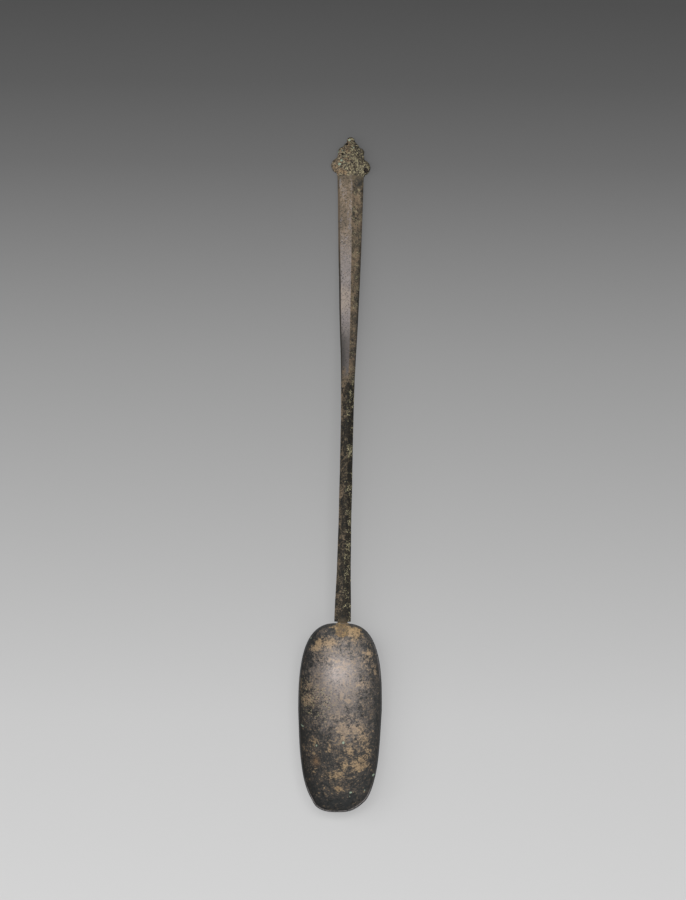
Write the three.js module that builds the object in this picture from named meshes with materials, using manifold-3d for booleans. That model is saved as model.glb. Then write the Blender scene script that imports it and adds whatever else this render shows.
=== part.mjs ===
// A long-handled bronze table spoon, lying as it does on a table: bowl mouth up, back of the bowl and of the
// finial on the table. Millimetres, +Z up, +Y from the bowl towards the finial, +X to the right of someone who
// looks from the tip. The origin is the middle of the flat that the bowl rests on.
import * as THREE from "three";
import { mergeVertices } from "three/addons/utils/BufferGeometryUtils.js";
import Module from "manifold-3d";

const wasm = await Module();
wasm.setup();

// Bowl: a thin raised dish, square-shouldered at the heel, where the handle joins, and drawn in to a blunt tip.
const bowlWidth = 28.95;
const heelReach = 31.7; // from the widest section to the heel
const tipReach = 37.8; // from the widest section to the tip
const bowlDepth = 8.6; // outside, from the table to the rim at the widest section
const rimSheer = 0.8; // how much higher the rim is at the heel and at the tip
const heelSquareness = 2.95; // exponent of the outline, where 2 is an ellipse
const tipSquareness = 2.8;
const tipWaist = 0.1; // how far the sides draw in between the widest section and the tip
const tipSkew = 0.75; // sideways wear of the tip
const floorWall = 1.2;
const rimWall = 0.6;
const rimChamfer = 0.15;
const restShare = 0.15; // share of the outline taken by the flat underneath
const floorBend = 2.4; // how late the floor turns up into the wall
const wallRise = 0.78; // how steeply the wall then climbs to the rim

// Handle: one forged bar, flared at the neck, slender at the stem, and a ridged blade under the finial.
const handleLength = 168.7; // along the table, from the bowl's heel to the finial's foot
const neckWidth = 5.8;
const neckThickness = 2.6;
const stemWidth = 4.5;
const stemThickness = 4;
const bladeWidth = 9.2;
const bladeThickness = 3.1;
const bladeStart = 0.485; // share of the handle at which the ridge begins to rise
const ridgeRunOut = 0.07; // share of the handle over which it does so
const edgeBevel = 0.7; // the narrow bevel along each edge of the blade
const ridgeShift = 0.4; // the ridge lies a little to the right of the blade's middle
const neckOffset = 0.55; // the neck stands a little to the right of the bowl's axis
const handleLean = 1.15; // and the blade's end this much further
const handleBow = 0.35; // sideways bow of the handle at its middle
const archRise = 9; // how far the handle aims above the neck as it leaves the bowl
const archReach = 0.32; // share of the handle's length over which each end keeps its own direction

// Tongue: the end of the bar, drawn down the back of the heel and tapered like a rat's tail.
const tongueWidth = 3.5;
const tongueTipWidth = 1.9;
const tongueThickness = 2.1;
const tongueTipThickness = 0.8;
const tongueStart = 0.6; // where its tip lies, as a share of the way from the bowl's middle to the heel
const shoulderGap = 1; // between the bar's shoulders and the heel

// Finial: a cast knop of a ridged leaf, two pairs of side lobes, which are worn unequally, and a bud. Three of
// the lobes keep their drilled eyes. Every place is across and along from the middle of the finial's foot.
const finialThickness = 4.4;
const finialLength = 14.1;
const bud = {
  radius: 1.3,
  across: -0.1,
  along: finialLength - 1.3,
  eye: { radius: 0.45, across: -1.05, along: 12 },
};
const sideLobes = [
  { radius: 2.9, across: 3.95, along: 2.8, eye: { radius: 0.65, across: 5.4, along: 2.05 } },
  { radius: 2.9, across: -3.95, along: 3.4 },
  { radius: 1.9, across: 2.65, along: 8.3 },
  { radius: 1.9, across: -2.85, along: 8.55, eye: { radius: 0.45, across: -2.75, along: 8.2 } },
];
const lobeFlatness = 0.86; // thickness of a lobe beside the leaf's
const eyeTaper = 0.6; // radius of an eye's floor beside its mouth's
const eyeDepth = 1.2; // below the top of its lobe
const backCut = 0.4; // how much of the domed back is ground away to lie flat

// Seats: a tenon on the handle's end stands in a mortise in the finial, and solder fills both joints.
const tenonWidth = 4.4;
const tenonThickness = 1.4;
const tenonLength = 4.5;
const seatGap = 0.3;
const solderFilm = 0.4;
const solderGap = 0.05;
const solderBead = 0.3; // how far the solder shows beside the tongue

// Fineness of the facets.
const outlineSteps = 56;
const wallSteps = 10;
const handleSteps = 66;
const tongueSteps = 12;
const leafSteps = 12;
const lobeSteps = 18;

// A closed three.js geometry as a manifold-3d solid.
function solidOf(geometry) {
  const bare = geometry.clone();
  bare.deleteAttribute("normal");
  bare.deleteAttribute("uv");
  const merged = mergeVertices(bare, 1e-4);
  return new wasm.Manifold(
    new wasm.Mesh({
      numProp: 3,
      vertProperties: merged.attributes.position.array,
      triVerts: new Uint32Array(merged.index.array),
    }),
  );
}

// A manifold-3d solid as a three.js geometry.
function geometryOf(solid) {
  const mesh = solid.getMesh();
  const geometry = new THREE.BufferGeometry();
  geometry.setAttribute("position", new THREE.BufferAttribute(mesh.vertProperties, mesh.numProp));
  geometry.setIndex(new THREE.BufferAttribute(mesh.triVerts, 1));
  geometry.computeVertexNormals();
  return geometry;
}

// A closed skin over a row of loops of equal size, with a fan over each end. The loops turn anticlockwise as
// seen from the end that the row runs to.
function loft(loops) {
  const size = loops[0].length;
  const points = loops.flat();
  const faces = [];
  for (let row = 0; row + 1 < loops.length; row++) {
    for (let i = 0; i < size; i++) {
      const a = row * size + i;
      const b = row * size + ((i + 1) % size);
      faces.push(a, b, b + size, a, b + size, a + size);
    }
  }
  for (const last of [false, true]) {
    const row = last ? loops.length - 1 : 0;
    const centre = new THREE.Vector3();
    for (const point of loops[row]) centre.addScaledVector(point, 1 / size);
    const middle = points.push(centre) - 1;
    for (let i = 0; i < size; i++) {
      const a = row * size + i;
      const b = row * size + ((i + 1) % size);
      faces.push(...(last ? [a, b, middle] : [b, a, middle]));
    }
  }
  const geometry = new THREE.BufferGeometry().setFromPoints(points);
  geometry.setIndex(faces);
  return solidOf(geometry);
}

// A smooth value along the handle or the finial, through stations of [place, value].
function through(stations) {
  const places = stations.map(([place]) => place);
  const values = stations.map(([, value]) => value);
  const curve = new THREE.CubicInterpolant(places, values, 1);
  return (place) => curve.evaluate(place)[0];
}

// The bowl's plan outline at one angle, counted from +X towards the heel, grown outwards by a margin.
function outlineAt(angle, margin = 0) {
  const heel = Math.sin(angle) > 0;
  const reach = (heel ? heelReach : tipReach) + margin;
  const power = 2 / (heel ? heelSquareness : tipSquareness);
  const across = Math.sign(Math.cos(angle)) * Math.abs(Math.cos(angle)) ** power;
  const share = Math.abs(Math.sin(angle)) ** power;
  const waist = heel ? 1 : 1 - tipWaist * share * (1 - share);
  const skew = heel ? 0 : tipSkew * THREE.MathUtils.smoothstep(share, 0.86, 0.97);
  const half = bowlWidth / 2 + margin;
  return new THREE.Vector2(across * half * waist - skew, heel ? share * reach : -share * reach);
}

// How far up its wall the bowl is, from 0 on the floor to 1 at the rim, at a share of its outline.
function climb(share) {
  const out = Math.min(1, Math.max(0, (share - restShare) / (1 - restShare)));
  return 1 - (1 - out ** floorBend) ** wallRise;
}

// The rim rises towards the heel and the tip.
function rimHeight(point) {
  const reach = point.y > 0 ? heelReach : tipReach;
  return bowlDepth + rimSheer * Math.min(1, (point.y / reach) ** 2);
}

// One loop of a bowl-shaped skin: a share of the outline, at a share of the way up from the foot.
function bowlLoop({ share, up, foot = 0, margin = 0, lower = 0 }) {
  return Array.from({ length: outlineSteps }, (_, i) => {
    const angle = (2 * Math.PI * i) / outlineSteps;
    const top = rimHeight(outlineAt(angle)) - lower;
    const at = outlineAt(angle, margin).multiplyScalar(share);
    return new THREE.Vector3(at.x, at.y, foot + (top - foot) * up);
  });
}

// Shares of the outline from the rest flat to the rim, closer together where the wall is steep.
const wallShares = Array.from({ length: wallSteps + 1 }, (_, i) => {
  const turn = Math.sin((Math.PI / 2) * (i / wallSteps));
  return restShare + (1 - restShare) * turn;
});

function makeBowl() {
  const outside = { lower: rimChamfer };
  const inside = { foot: floorWall, margin: -rimWall, lower: rimChamfer };
  return loft([
    ...wallShares.map((share) => bowlLoop({ share, up: climb(share), ...outside })),
    bowlLoop({ share: 1, up: 1, margin: -rimChamfer }),
    bowlLoop({ share: 1, up: 1, margin: rimChamfer - rimWall }),
    ...wallShares.map((share) => bowlLoop({ share, up: climb(share), ...inside })).reverse(),
  ]);
}

// The space that the bowl takes up, grown by a margin and carried on above the rim, to cut what seats on it.
function bowlPlug(margin) {
  const wall = wallShares.map((share) =>
    bowlLoop({ share, up: climb(share), foot: -margin, margin, lower: rimChamfer }),
  );
  const crown = wall[wallSteps].map((point) => point.clone().setZ(point.z + bowlDepth));
  return loft([...wall, crown]);
}

const heelRim = bowlDepth + rimSheer;
const neckHeight = heelRim - neckThickness / 2;
const endHeight = finialThickness / 2 - backCut;
const barStart = heelReach + shoulderGap;
const bladeEnd = heelReach + handleLength;
const archLead = (bladeEnd - barStart) * archReach;

// The handle leaves the bowl rising, arches over and comes down to lie level under the finial.
const arch = new THREE.CubicBezierCurve3(
  new THREE.Vector3(0, barStart, neckHeight),
  new THREE.Vector3(0, barStart + archLead, neckHeight + archRise),
  new THREE.Vector3(0, bladeEnd - archLead, endHeight),
  new THREE.Vector3(0, bladeEnd, endHeight),
);

// Half the bar's width: a share of the neck's flare and of the blade's is added to the stem.
const neckFlare = through([[0, 1], [0.04, 0.78], [0.1, 0.33], [0.16, 0.12], [0.26, 0], [1, 0]]);
const bladeFlare = through([[0, 0], [0.36, 0], [0.54, 0.1], [0.65, 0.38], [0.76, 0.61], [1, 1]]);

function halfWidth(share) {
  const neck = (neckWidth - stemWidth) * neckFlare(share);
  const blade = (bladeWidth - stemWidth) * bladeFlare(share);
  return (stemWidth + neck + blade) / 2;
}

function halfThickness(share) {
  const neck = (neckThickness - stemThickness) * neckFlare(share);
  const blade = (bladeThickness - stemThickness) * bladeFlare(share);
  return (stemThickness + neck + blade) / 2;
}

// How far the handle's middle stands to the right of the bowl's axis.
function sideways(share) {
  return neckOffset + handleLean * share + handleBow * 4 * share * (1 - share);
}

// A cross-section as [across, up] pairs: a face that is crowned or ridged, bevels from its brows down to the
// edges, and a full back. The bend is 2 for a crown and 1 for a ridge, which may lie off the middle.
function faceted({ half, thick, bevel, edge, brow, bend, shift }) {
  const across = [-1, -0.75, -0.5, -0.25, 0, 0.25, 0.5, 0.75, 1];
  const face = across.map((x) => [
    x * (half - bevel) + shift * (1 - Math.abs(x)),
    brow + (thick - brow) * (1 - Math.abs(x) ** bend),
  ]);
  const back = [1, 0.5, 0, -0.5, -1].map((x) => [
    x * (half - bevel),
    -brow - (0.85 * thick - brow) * (1 - x * x),
  ]);
  return [[half, edge], [half, -edge], ...back, [-half, -edge], [-half, edge], ...face];
}

function barSection(share) {
  const ridged = THREE.MathUtils.smoothstep(share, bladeStart, bladeStart + ridgeRunOut);
  const half = halfWidth(share);
  const thick = halfThickness(share);
  return faceted({
    half,
    thick,
    bevel: THREE.MathUtils.lerp(0.35 * half, Math.min(edgeBevel, 0.3 * half), ridged),
    edge: THREE.MathUtils.lerp(0.3, 0.15, ridged) * thick,
    brow: THREE.MathUtils.lerp(0.6, 0.42, ridged) * thick,
    bend: THREE.MathUtils.lerp(2, 1, ridged),
    shift: ridgeShift * ridged,
  });
}

// Stands a cross-section on the arch, square to it.
function standOnArch(share) {
  const at = arch.getPointAt(share);
  const way = arch.getTangentAt(share);
  return barSection(share).map(
    ([across, up]) =>
      new THREE.Vector3(across + sideways(share), at.y - way.z * up, at.z + way.y * up),
  );
}

// The tongue's skin on the heel's back, from its tip up to the neck. It runs into the bowl's wall, which is cut
// away later, and a spread widens it all round.
function makeTongue(spread = 0) {
  const sunk = -rimWall / 2;
  const wallAt = (share) => new THREE.Vector2(share * heelReach, heelRim * climb(share));
  const nudge = 0.002;
  const start = tongueStart - spread / heelReach;
  const loops = Array.from({ length: tongueSteps + 1 }, (_, i) => {
    const run = Math.sin((Math.PI / 2) * (i / tongueSteps));
    const share = start + (1 - start) * run;
    const here = wallAt(share);
    const way = wallAt(Math.min(1, share + nudge)).sub(wallAt(share - nudge)).normalize();
    const point = Math.sqrt(1 - (1 - Math.min(1, 0.04 + 4 * run)) ** 2);
    const half = (THREE.MathUtils.lerp(tongueTipWidth, tongueWidth, run) / 2 + spread) * point;
    const thick = THREE.MathUtils.lerp(tongueTipThickness, tongueThickness, run ** 4);
    const deep = solderFilm + thick;
    const section = [
      [half, solderFilm],
      [0.85 * half, 0.7 * deep],
      [0.45 * half, deep],
      [-0.45 * half, deep],
      [-0.85 * half, 0.7 * deep],
      [-half, solderFilm],
      [-half, sunk],
      [half, sunk],
    ];
    return section.map(
      ([across, out]) =>
        new THREE.Vector3(across + neckOffset, here.x + way.y * out, here.y - way.x * out),
    );
  });
  return loft(loops);
}

function makeHandle() {
  const steps = Array.from({ length: handleSteps + 1 }, (_, i) => i / handleSteps);
  const bar = loft(steps.map(standOnArch));
  const rooted = tenonThickness;
  const tenon = new THREE.BoxGeometry(tenonWidth, tenonLength + rooted, tenonThickness);
  tenon.translate(sideways(1), bladeEnd + (tenonLength - rooted) / 2, endHeight);
  return bar.add(makeTongue()).add(solidOf(tenon)).subtract(bowlPlug(solderFilm));
}

// Solder between the tongue and the heel, squeezed out a little on both sides of the tongue.
function makeNeckSolder() {
  const film = bowlPlug(solderFilm - solderGap).subtract(bowlPlug(solderGap));
  return makeTongue(solderBead).intersect(film);
}

// Half the width and half the thickness of the finial's leaf, from its foot to the bud.
const leafWidth = through([
  [0, bladeWidth / 2 + 0.2],
  [3.35, 4.9],
  [6, 4.7],
  [8.45, 3.9],
  [10.5, 2.9],
  [bud.along, 0.75 * bud.radius],
]);
const leafThickness = through([
  [0, 0.85 * finialThickness / 2],
  [3.35, finialThickness / 2],
  [8.45, finialThickness / 2],
  [bud.along, 0.8 * bud.radius],
]);

function makeLeaf() {
  return loft(
    Array.from({ length: leafSteps + 1 }, (_, row) => {
      const along = (bud.along * row) / leafSteps;
      const half = leafWidth(along);
      const thick = leafThickness(along);
      return faceted({
        half,
        thick,
        bevel: 0.12 * half,
        edge: 0.3 * thick,
        brow: 0.55 * thick,
        bend: 1.3,
        shift: ridgeShift,
      }).map(([x, z]) => new THREE.Vector3(x, along, z));
    }),
  );
}

function makeFinial() {
  const lobes = [bud, ...sideLobes];
  const halfOf = (lobe) => Math.min(lobe.radius, finialThickness / 2) * lobeFlatness;
  let solid = makeLeaf();
  for (const lobe of lobes) {
    const ball = new THREE.SphereGeometry(lobe.radius, lobeSteps, lobeSteps / 2);
    ball.rotateX(Math.PI / 2).scale(1, 1, halfOf(lobe) / lobe.radius);
    solid = solid.add(solidOf(ball.translate(lobe.across, lobe.along, 0)));
  }
  for (const lobe of lobes.filter(({ eye }) => eye)) {
    const { radius, across, along } = lobe.eye;
    const drill = new THREE.CylinderGeometry(radius, eyeTaper * radius, 2 * eyeDepth, 10);
    drill.rotateX(Math.PI / 2).translate(across, along, halfOf(lobe));
    solid = solid.subtract(solidOf(drill));
  }
  const mortise = new THREE.BoxGeometry(
    tenonWidth + 2 * seatGap,
    2 * (tenonLength + seatGap),
    tenonThickness + 2 * seatGap,
  );
  const below = new THREE.BoxGeometry(4 * bladeWidth, 4 * finialLength, finialThickness);
  below.translate(0, 0, -endHeight - finialThickness / 2);
  return solid.subtract(solidOf(mortise)).subtract(solidOf(below));
}

const bronze = new THREE.MeshStandardMaterial({ color: 0x3f352c, roughness: 0.5, metalness: 0.8 });
const handled = new THREE.MeshStandardMaterial({ color: 0x4a3f33, roughness: 0.45, metalness: 0.8 });
const crusted = new THREE.MeshStandardMaterial({ color: 0x6f684c, roughness: 0.85, metalness: 0.3 });
const solder = new THREE.MeshStandardMaterial({ color: 0x7a6138, roughness: 0.7, metalness: 0.5 });

const spoon = new THREE.Group();

function addPiece(name, solid, material, place = [0, 0, 0]) {
  const mesh = new THREE.Mesh(geometryOf(solid), material);
  mesh.name = name;
  mesh.position.set(...place);
  spoon.add(mesh);
}

addPiece("bowl", makeBowl(), bronze);
addPiece("handle", makeHandle(), handled);
addPiece("neck_solder", makeNeckSolder(), solder);
addPiece("finial", makeFinial(), crusted, [sideways(1), bladeEnd + seatGap, endHeight]);

export default spoon;
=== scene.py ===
"""A long-handled bronze spoon on a pale studio table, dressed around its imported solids."""

import itertools
import math

import bpy
import numpy as np
from bpy.props import FloatProperty, FloatVectorProperty, IntProperty, PointerProperty
from bpy.types import Operator, Panel, PropertyGroup
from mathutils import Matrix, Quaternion, Vector


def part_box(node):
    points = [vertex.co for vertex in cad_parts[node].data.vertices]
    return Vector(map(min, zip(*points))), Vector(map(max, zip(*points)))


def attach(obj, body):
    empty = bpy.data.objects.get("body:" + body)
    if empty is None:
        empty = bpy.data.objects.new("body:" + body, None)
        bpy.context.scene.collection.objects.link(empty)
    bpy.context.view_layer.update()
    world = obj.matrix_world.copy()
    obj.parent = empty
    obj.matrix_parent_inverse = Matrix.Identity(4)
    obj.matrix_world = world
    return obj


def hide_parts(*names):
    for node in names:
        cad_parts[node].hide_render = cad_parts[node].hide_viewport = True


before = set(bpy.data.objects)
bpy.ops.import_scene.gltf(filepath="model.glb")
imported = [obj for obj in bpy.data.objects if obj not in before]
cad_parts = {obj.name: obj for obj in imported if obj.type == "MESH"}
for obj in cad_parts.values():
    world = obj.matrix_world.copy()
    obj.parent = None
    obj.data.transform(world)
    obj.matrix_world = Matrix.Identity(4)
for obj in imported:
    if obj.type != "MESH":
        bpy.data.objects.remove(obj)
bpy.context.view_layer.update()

bl_info = {
    "name": "Bronze Spoon",
    "version": (1, 0, 0),
    "blender": (4, 5, 0),
    "location": "3D View > Sidebar > Spoon",
    "description": "Builds a long-handled bronze spoon and the table it lies on",
    "category": "Object",
}

MM = 0.001
BOWL_LOW, BOWL_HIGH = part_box("bowl")
HANDLE_LOW, HANDLE_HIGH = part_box("handle")
FINIAL_LOW, FINIAL_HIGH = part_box("finial")


def length(label, text, value):
    """A length in metres that the sidebar shows with its unit."""
    return FloatProperty(
        name=label, description=text, default=value, unit="LENGTH", precision=5, step=0.01
    )


def share(label, text, value, high=1.0):
    """A plain number from nothing up to a highest value."""
    return FloatProperty(name=label, description=text, default=value, min=0.0, max=high)


def colour(label, text, value):
    """A linear colour."""
    return FloatVectorProperty(
        name=label, description=text, default=value, size=3, subtype="COLOR", min=0.0, max=1.0
    )


class BowlSizes(PropertyGroup):
    """Sizes of the bowl, as its solid has them."""

    width: length("Width", "Across the rim", BOWL_HIGH.x - BOWL_LOW.x)
    heel_reach: length("Heel reach", "From the widest section to the heel", BOWL_HIGH.y)
    tip_reach: length("Tip reach", "From the widest section to the tip", -BOWL_LOW.y)
    rim_height: length("Rim height", "From the table to the rim at the heel", BOWL_HIGH.z)
    rim_sheer: length("Rim sheer", "How far the rim dips at the widest section", 0.8 * MM)
    heel_squareness: share("Heel squareness", "Exponent of the heel's outline", 2.95, 6.0)
    tip_squareness: share("Tip squareness", "Exponent of the tip's outline", 2.8, 6.0)
    tip_waist: share("Waist", "How far the sides draw in towards the tip", 0.1)
    tip_skew: length("Tip skew", "Sideways wear of the tip", 0.75 * MM)
    floor_wall: length("Floor", "Thickness of the bowl's floor", 1.2 * MM)
    rim_wall: length("Rim", "Thickness of the rim", 0.6 * MM)
    rest_share: share("Rest flat", "Share of the outline taken by the flat underneath", 0.15)
    floor_bend: share("Floor bend", "How late the floor turns up into the wall", 2.4, 6.0)
    wall_rise: share("Wall rise", "How steeply the wall climbs to the rim", 0.78)
    dent: length("Dents", "Depth of the hammer marks", 0.05 * MM)
    dent_size: length("Dent size", "Width of a hammer mark", 6.5 * MM)
    nick: length("Nicks", "Depth of the wear along the rim", 0.12 * MM)
    nick_size: length("Nick size", "Width of a worn place on the rim", 1.6 * MM)
    columns: IntProperty(name="Columns", description="Faces round the bowl", default=288)
    rows: IntProperty(name="Rows", description="Faces from the middle to the rim", default=84)


class HandleSizes(PropertyGroup):
    """Sizes of the handle, from the shoulders at the bowl to the finial's foot."""

    start: length("Start", "Where the shoulders stand, beyond the bowl's heel", 1.0 * MM)
    end: length("End", "Where the blade ends", FINIAL_LOW.y - 0.3 * MM)
    neck_width: length("Neck width", "Across the shoulders", 5.8 * MM)
    neck_thickness: length("Neck thickness", "Height of the shoulders", 2.6 * MM)
    stem_width: length("Stem width", "Across the slender stem", 4.5 * MM)
    stem_thickness: length("Stem thickness", "Height of the slender stem", 4.0 * MM)
    blade_width: length("Blade width", "Across the blade at the finial", 9.2 * MM)
    blade_thickness: length("Blade thickness", "Height of the blade at the finial", 3.1 * MM)
    blade_start: share("Blade start", "Share of the handle where the ridge begins", 0.485)
    ridge_run: share("Ridge run-out", "Share of the handle over which the ridge rises", 0.07)
    edge_bevel: length("Edge bevel", "Bevel along each edge of the blade", 0.7 * MM)
    ridge_shift: length("Ridge shift", "How far right of its middle the ridge lies", 0.4 * MM)
    neck_offset: length("Neck offset", "How far right of the bowl's axis it starts", 0.55 * MM)
    lean: length("Lean", "How much further right it ends", 1.15 * MM)
    bow: length("Bow", "Sideways bow at its middle", 0.35 * MM)
    arch_rise: length("Arch rise", "How far it aims above the neck", 9.0 * MM)
    arch_reach: share("Arch reach", "Share over which each end keeps its direction", 0.32)
    end_height: length("End height", "Middle of the blade's end above the table", 1.8 * MM)
    wave: length("Waviness", "Unevenness left by the forging", 0.07 * MM)
    pit: length("Pits", "Depth of the corrosion pits", 0.045 * MM)
    columns: IntProperty(name="Columns", description="Faces round the handle", default=120)
    rows: IntProperty(name="Rows", description="Faces along the handle", default=520)


class TongueSizes(PropertyGroup):
    """Sizes of the tongue that laps down the back of the bowl's heel."""

    width: length("Width", "Across its root", 3.5 * MM)
    tip_width: length("Tip width", "Across its tip", 1.9 * MM)
    thickness: length("Thickness", "At its root", 2.1 * MM)
    tip_thickness: length("Tip thickness", "At its tip", 0.8 * MM)
    start: share("Start", "Its tip, as a share of the heel's reach", 0.6)
    film: length("Film", "The solder under it", 0.4 * MM)
    bead: length("Bead", "How far the solder shows beside it", 0.3 * MM)
    smear: length("Smear", "Thickness of the solder run over the rim", 0.11 * MM)
    smear_width: length("Smear width", "Across the solder inside the bowl", 5.0 * MM)
    smear_start: share("Smear start", "Its lower edge, as a share of the heel's reach", 0.885)


class FinialSizes(PropertyGroup):
    """Sizes of the finial, seen from above: a ridged leaf, two pairs of lobes and a bud."""

    length: length("Length", "From foot to bud", FINIAL_HIGH.y - FINIAL_LOW.y)
    half: length("Half thickness", "Half of the finial's full thickness", 2.2 * MM)
    foot_half: length("Foot half thickness", "Half of its thickness at the foot", 1.66 * MM)
    lap: length("Lap", "How far the crust laps over the blade's end", 0.55 * MM)
    foot_width: length("Foot width", "Half width of the leaf at its foot", 4.8 * MM)
    low_width: length("Low width", "Half width of the leaf between the low lobes", 4.9 * MM)
    waist_width: length("Waist width", "Half width of the leaf between both pairs", 4.7 * MM)
    mid_width: length("Middle width", "Half width between the middle lobes", 3.9 * MM)
    neck_width: length("Neck width", "Half width of the leaf under the bud", 2.7 * MM)
    bud_radius: length("Bud", "Radius of the bud", 1.3 * MM)
    bud_shift: length("Bud shift", "How far left of the middle the bud stands", 0.1 * MM)
    low_radius: length("Low lobes", "Radius of each low lobe", 2.9 * MM)
    low_across: length("Low lobes across", "From the middle to a low lobe", 3.9 * MM)
    low_along: length("Low lobes along", "From the foot to the left low lobe", 3.35 * MM)
    low_drop: length("Low lobes' drop", "How much nearer the foot the right one is", 0.6 * MM)
    mid_radius: length("Middle lobes", "Radius of each middle lobe", 1.85 * MM)
    mid_across: length("Middle lobes across", "From the middle to a middle lobe", 2.65 * MM)
    mid_along: length("Middle lobes along", "From the foot to the left middle lobe", 8.55 * MM)
    mid_drop: length("Middle lobes' drop", "How much nearer the foot the right one is", 0.25 * MM)
    lobe_flatness: share("Lobe flatness", "Thickness of a lobe beside the leaf's", 0.86)
    eye_depth: length("Eye depth", "Depth of a drilled eye", 0.9 * MM)
    swell: length("Swelling", "Height of the corrosion's broad swellings", 0.10 * MM)
    crust: length("Crust", "Height of the corrosion's grains", 0.085 * MM)
    grain: length("Grain", "Width of a grain", 0.62 * MM)
    columns: IntProperty(name="Columns", description="Faces round the finial", default=420)
    rows: IntProperty(name="Rows", description="Faces from its middle to its edge", default=108)


class FinishColours(PropertyGroup):
    """Colours of the old bronze, as light leaves them, with three light colours that are painted sheen and painted
    highlights.
    """

    patina: colour("Patina", "Dark patina", (0.030, 0.033, 0.034))
    film: colour("Film", "Smooth warm grey film in the bowl", (0.076, 0.070, 0.065))
    # Painted sheen and highlight: a light grey for the duller parts of the blade facet's painted sheen and for the
    # painted highlight along the bowl's rim.
    painted_haze: colour("Haze", "Duller parts of that film", (0.270, 0.245, 0.240))
    # Painted sheen and highlight: light metal colour for rubbed patches under the bowl's painted sheen and for a
    # painted highlight on the blade's left facet.
    painted_shine: colour("Shine", "Rubbed metal under the bowl's sheen", (0.520, 0.425, 0.350))
    # Painted sheen: the light colour of the bowl's painted sheen and of the film on the blade's left facet, which it
    # also paints as a sheen.
    painted_sheen: colour("Silver film", "Paler film on the blade's left facet", (0.430, 0.380, 0.360))
    speckle: colour("Speckle", "Pink-brown specks near the finial", (0.270, 0.208, 0.150))
    rubbed: colour("Rubbed", "Brown where the patina is thin", (0.170, 0.122, 0.080))
    gold: colour("Worn gold", "Golden brown where the patina is gone", (0.420, 0.300, 0.172))
    ochre: colour("Ochre", "Deeper gold at the bowl's heel and in the solder", (0.400, 0.265, 0.118))
    umber: colour("Umber", "Dark brown of the stem", (0.033, 0.028, 0.021))
    olive: colour("Olive", "Olive brown of the handle", (0.112, 0.092, 0.066))
    brown: colour("Brown", "Warm brown of the blade", (0.235, 0.172, 0.115))
    cream: colour("Cream", "Cream-yellow corrosion", (0.430, 0.385, 0.235))
    green: colour("Green", "Mint-green corrosion", (0.340, 0.420, 0.320))
    rust: colour("Rust", "Reddish oxide", (0.250, 0.155, 0.085))
    dark: colour("Dark", "Pits and hollows", (0.015, 0.016, 0.016))


class StageSizes(PropertyGroup):
    """The table, the camera and the lamps."""

    elevation: FloatProperty(
        name="Elevation", description="Camera above the table", default=math.radians(70),
        subtype="ANGLE",
    )
    roll: FloatProperty(
        name="Roll", description="Camera turned about its axis", default=math.radians(0.63),
        subtype="ANGLE",
    )
    focal: FloatProperty(
        name="Focal length", description="Of the camera, in millimetres", default=1000.0
    )
    aim_x: length("Aim across", "Point on the table at the picture's centre", 0.07 * MM)
    aim_y: length("Aim along", "Point on the table at the picture's centre", 99.0 * MM)
    framed: length("Framed height", "Height that the picture takes in", 313.6 * MM)
    table: length("Table", "Side of the table top", 6.0)
    glow: share("Table glow", "How much of the table's grey is its own light", 0.55)


def sizes(name):
    """One of the scene's groups of sizes."""
    return getattr(bpy.context.scene, name)


def lattice_noise(points, size, seed):
    """Smooth noise from -1 to 1: random values on a cubic lattice, blended by a smoothstep along each axis."""
    span = 32
    table = np.random.default_rng(seed).uniform(-1.0, 1.0, (span, span, span))
    cell = points / size
    corner = np.floor(cell).astype(int)
    part = cell - corner
    ease = part * part * (3.0 - 2.0 * part)
    total = np.zeros(len(points))
    for step in itertools.product((0, 1), repeat=3):
        step = np.array(step)
        weight = np.prod(np.where(step == 1, ease, 1.0 - ease), axis=1)
        i, j, k = ((corner + step) % span).T
        total += weight * table[i, j, k]
    return total


def layered_noise(points, size, seed, layers=3, fall=0.5):
    """Lattice noise at halving sizes, each layer weaker than the last by the given share."""
    total = np.zeros(len(points))
    for layer in range(layers):
        total += fall**layer * lattice_noise(points, size * 0.5**layer, seed + layer)
    return total


def smoothstep(value, low, high):
    """0 below low, 1 above high, and 3t squared minus 2t cubed between them."""
    t = np.clip((value - low) / (high - low), 0.0, 1.0)
    return t * t * (3.0 - 2.0 * t)


def through(stations, places):
    """A smooth curve through stations of (place, value): cubic pieces with slopes taken from the neighbours."""
    at, value = np.array(stations, float).T
    slope = np.gradient(value, at)
    index = np.clip(np.searchsorted(at, places) - 1, 0, len(at) - 2)
    gap = at[index + 1] - at[index]
    t = (places - at[index]) / gap
    start = (1 + 2 * t) * (1 - t) ** 2 * value[index] + t * (1 - t) ** 2 * gap * slope[index]
    end = t * t * (3 - 2 * t) * value[index + 1] + t * t * (t - 1) * gap * slope[index + 1]
    return start + end


def outward(rows):
    """Unit normals of a grid of rings: the step round each ring crossed with the step to the next ring."""
    along = np.gradient(rows, axis=0)
    around = np.roll(rows, -1, axis=1) - np.roll(rows, 1, axis=1)
    normal = np.cross(around, along)
    size = np.linalg.norm(normal, axis=2, keepdims=True)
    return normal / np.maximum(size, 1e-12)


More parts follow.
